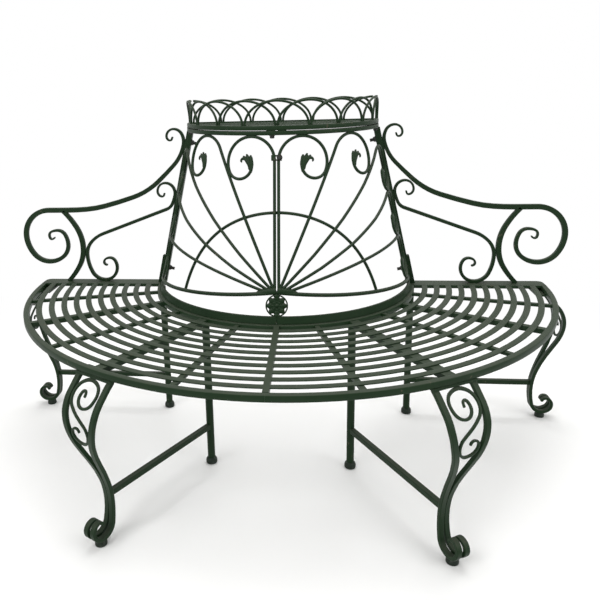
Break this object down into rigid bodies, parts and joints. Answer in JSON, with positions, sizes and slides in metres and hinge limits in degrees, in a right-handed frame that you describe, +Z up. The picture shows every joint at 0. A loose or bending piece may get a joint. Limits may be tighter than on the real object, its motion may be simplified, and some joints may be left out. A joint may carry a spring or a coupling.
{
  "type": "metal garden bench",
  "caption": "Half-round wrought-iron garden bench with a curved slatted seat, fan-pattern back topped by a shelf gallery, scrolled arms and cabriole legs.",
  "frame": {"origin": "on the floor, under the middle of the bench's footprint", "axes": "+X to the viewer's right along the straight back edge, -Y towards the round front, +Z up"},
  "size_m": [1.673, 0.826, 1.0008],
  "materials": {
    "green_paint": "satin dark green paint, slightly weathered",
    "foot_plastic": "matte black foot caps"
  },
  "bodies": {
    "root": {"arm_rail_left": "green_paint", "arm_rail_right": "green_paint", "arm_scroll_left": "green_paint", "arm_scroll_right": "green_paint", "arm_support_left": "green_paint", "arm_support_right": "green_paint", "back_bottom_band_left": "green_paint", "back_bottom_band_right": "green_paint", "back_fan_rods_left": "green_paint", "back_fan_rods_right": "green_paint", "back_hoop_left": "green_paint", "back_hoop_right": "green_paint", "back_leaf_tips_left": "green_paint", "back_leaf_tips_right": "green_paint", "back_lower_rod_left": "green_paint", "back_lower_rod_right": "green_paint", "back_post_left": "green_paint", "back_post_right": "green_paint", "back_rod_clip": "green_paint", "back_rosette": "green_paint", "back_top_band_left": "green_paint", "back_top_band_right": "green_paint", "end_leg_bars_left": "green_paint", "end_leg_bars_right": "green_paint", "front_glides": "foot_plastic", "front_leg_bars_left": "green_paint", "front_leg_bars_right": "green_paint", "gallery_back_arches": "green_paint", "gallery_back_bar": "green_paint", "gallery_band": "green_paint", "gallery_corner_posts": "green_paint", "gallery_front_arches": "green_paint", "gallery_shelf_slats": "green_paint", "gallery_spacers": "green_paint", "leg_head_plates": "green_paint", "leg_rail_left": "green_paint", "leg_rail_right": "green_paint", "leg_scrolls": "green_paint", "leg_stretchers": "green_paint", "rear_leg_caps": "foot_plastic", "rear_legs": "green_paint", "seat_centre_bar_left": "green_paint", "seat_centre_bar_right": "green_paint", "seat_end_bar_left": "green_paint", "seat_end_bar_right": "green_paint", "seat_inner_rim_left": "green_paint", "seat_inner_rim_right": "green_paint", "seat_outer_rim_left": "green_paint", "seat_outer_rim_right": "green_paint", "seat_ribs_left": "green_paint", "seat_ribs_right": "green_paint", "seat_slats_left": "green_paint", "seat_slats_right": "green_paint", "seat_tab_left": "green_paint", "seat_tab_right": "green_paint"}
  },
  "joints": []
}
